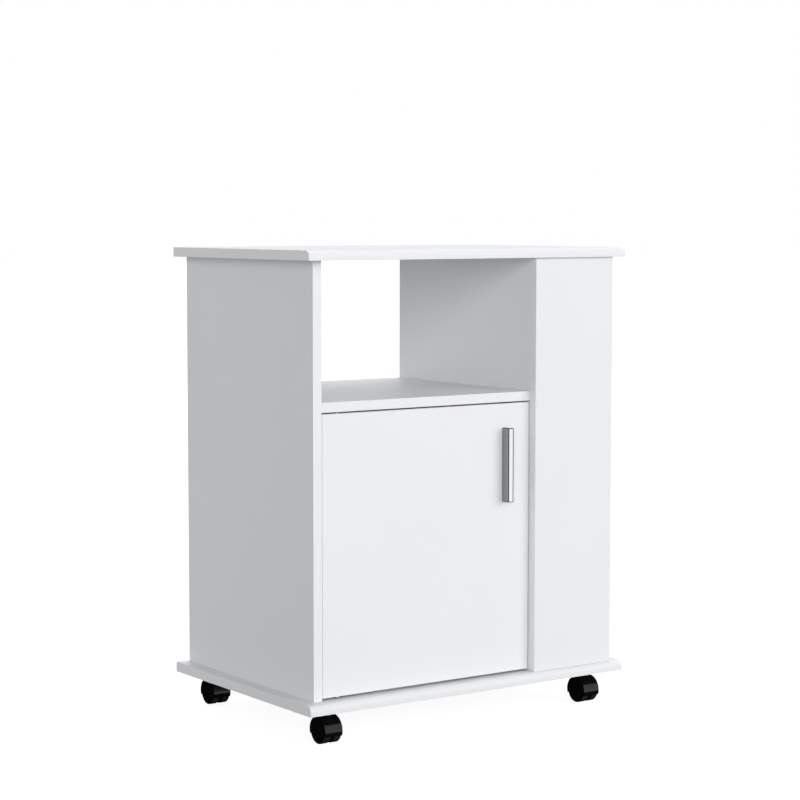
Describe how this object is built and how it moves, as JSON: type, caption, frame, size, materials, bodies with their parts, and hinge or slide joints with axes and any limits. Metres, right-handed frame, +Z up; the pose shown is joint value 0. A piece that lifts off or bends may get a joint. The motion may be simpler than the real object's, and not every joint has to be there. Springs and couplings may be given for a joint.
{
  "type": "microwave cart",
  "caption": "White flat-pack kitchen cart with an open niche, a cupboard with an inset door and bright pull, an open side bay, and hooded twin-wheel casters.",
  "frame": {"origin": "on the floor, under the middle of the top board", "axes": "+X to the right seen from the front, -Y towards the front (the door), +Z up"},
  "size_m": [0.6, 0.4024, 0.738],
  "materials": {
    "white_board": "satin melamine",
    "white_door": "satin melamine",
    "bright_pull": "polished",
    "plated_steel": "bright zinc plate",
    "zinc_casting": "as cast",
    "beech_dowel": "fluted beech",
    "white_nylon": "moulded",
    "dark_nylon": "moulded",
    "ferrite_magnet": "sintered",
    "black_hood": "satin moulded",
    "black_wheel": "moulded"
  },
  "bodies": {
    "carcass": {"top_board": "white_board", "base_board": "white_board", "left_side_panel": "white_board", "divider_panel": "white_board", "niche_shelf": "white_board", "bay_front_panel": "white_board", "bay_back_panel": "white_board", "bay_shelf_upper": "white_board", "bay_shelf_lower": "white_board", "cupboard_back_panel": "white_board", "cupboard_shelf": "white_board", "cam_bolts": "plated_steel", "cam_locks": "zinc_casting", "wood_dowels": "beech_dowel", "shelf_pegs": "plated_steel", "back_panel_screws": "plated_steel", "pivot_bush_lower": "dark_nylon", "pivot_bush_upper": "dark_nylon", "catch_case": "white_nylon", "catch_magnet": "ferrite_magnet", "catch_screws": "plated_steel", "caster_screws": "plated_steel", "caster_plate_front_left": "plated_steel", "king_pin_front_left": "plated_steel", "caster_plate_front_right": "plated_steel", "king_pin_front_right": "plated_steel", "caster_plate_rear_left": "plated_steel", "king_pin_rear_left": "plated_steel", "caster_plate_rear_right": "plated_steel", "king_pin_rear_right": "plated_steel"},
    "door": {"door_panel": "white_door", "door_handle": "bright_pull", "handle_screws": "plated_steel", "strike_plate": "plated_steel", "strike_screws": "plated_steel", "pivot_pin_lower": "plated_steel", "pivot_pin_upper": "plated_steel"},
    "swivel_front_left": {"caster_hood_front_left": "black_hood", "caster_axle_front_left": "plated_steel"},
    "wheel_front_left_outer": {"caster_wheel_front_left_outer": "black_wheel"},
    "wheel_front_left_inner": {"caster_wheel_front_left_inner": "black_wheel"},
    "swivel_front_right": {"caster_hood_front_right": "black_hood", "caster_axle_front_right": "plated_steel"},
    "wheel_front_right_outer": {"caster_wheel_front_right_outer": "black_wheel"},
    "wheel_front_right_inner": {"caster_wheel_front_right_inner": "black_wheel"},
    "swivel_rear_left": {"caster_hood_rear_left": "black_hood", "caster_axle_rear_left": "plated_steel"},
    "wheel_rear_left_outer": {"caster_wheel_rear_left_outer": "black_wheel"},
    "wheel_rear_left_inner": {"caster_wheel_rear_left_inner": "black_wheel"},
    "swivel_rear_right": {"caster_hood_rear_right": "black_hood", "caster_axle_rear_right": "plated_steel"},
    "wheel_rear_right_outer": {"caster_wheel_rear_right_outer": "black_wheel"},
    "wheel_rear_right_inner": {"caster_wheel_rear_right_inner": "black_wheel"}
  },
  "joints": [
    {"name": "door_swing", "type": "hinge", "parent": "carcass", "child": "door", "pos_m": [-0.2343, -0.172, 0.0725], "axis": [0, 0, -1], "range_deg": [0, 115]},
    {"name": "swivel_front_left_turn", "type": "hinge", "parent": "carcass", "child": "swivel_front_left", "pos_m": [-0.2457, -0.1642, 0.05], "axis": [0, 0, 1], "continuous": true},
    {"name": "wheel_front_left_outer_spin", "type": "hinge", "parent": "swivel_front_left", "child": "wheel_front_left_outer", "pos_m": [-0.2457, -0.1588, 0.02], "axis": [1, 0, 0], "continuous": true},
    {"name": "wheel_front_left_inner_spin", "type": "hinge", "parent": "swivel_front_left", "child": "wheel_front_left_inner", "pos_m": [-0.2457, -0.1588, 0.02], "axis": [1, 0, 0], "continuous": true},
    {"name": "swivel_front_right_turn", "type": "hinge", "parent": "carcass", "child": "swivel_front_right", "pos_m": [0.2534, -0.1642, 0.05], "axis": [0, 0, 1], "continuous": true},
    {"name": "wheel_front_right_outer_spin", "type": "hinge", "parent": "swivel_front_right", "child": "wheel_front_right_outer", "pos_m": [0.2534, -0.1588, 0.02], "axis": [1, 0, 0], "continuous": true},
    {"name": "wheel_front_right_inner_spin", "type": "hinge", "parent": "swivel_front_right", "child": "wheel_front_right_inner", "pos_m": [0.2534, -0.1588, 0.02], "axis": [1, 0, 0], "continuous": true},
    {"name": "swivel_rear_left_turn", "type": "hinge", "parent": "carcass", "child": "swivel_rear_left", "pos_m": [-0.2457, 0.1642, 0.05], "axis": [0, 0, 1], "continuous": true},
    {"name": "wheel_rear_left_outer_spin", "type": "hinge", "parent": "swivel_rear_left", "child": "wheel_rear_left_outer", "pos_m": [-0.2457, 0.1696, 0.02], "axis": [1, 0, 0], "continuous": true},
    {"name": "wheel_rear_left_inner_spin", "type": "hinge", "parent": "swivel_rear_left", "child": "wheel_rear_left_inner", "pos_m": [-0.2457, 0.1696, 0.02], "axis": [1, 0, 0], "continuous": true},
    {"name": "swivel_rear_right_turn", "type": "hinge", "parent": "carcass", "child": "swivel_rear_right", "pos_m": [0.2534, 0.1642, 0.05], "axis": [0, 0, 1], "continuous": true},
    {"name": "wheel_rear_right_outer_spin", "type": "hinge", "parent": "swivel_rear_right", "child": "wheel_rear_right_outer", "pos_m": [0.2534, 0.1696, 0.02], "axis": [1, 0, 0], "continuous": true},
    {"name": "wheel_rear_right_inner_spin", "type": "hinge", "parent": "swivel_rear_right", "child": "wheel_rear_right_inner", "pos_m": [0.2534, 0.1696, 0.02], "axis": [1, 0, 0], "continuous": true}
  ]
}
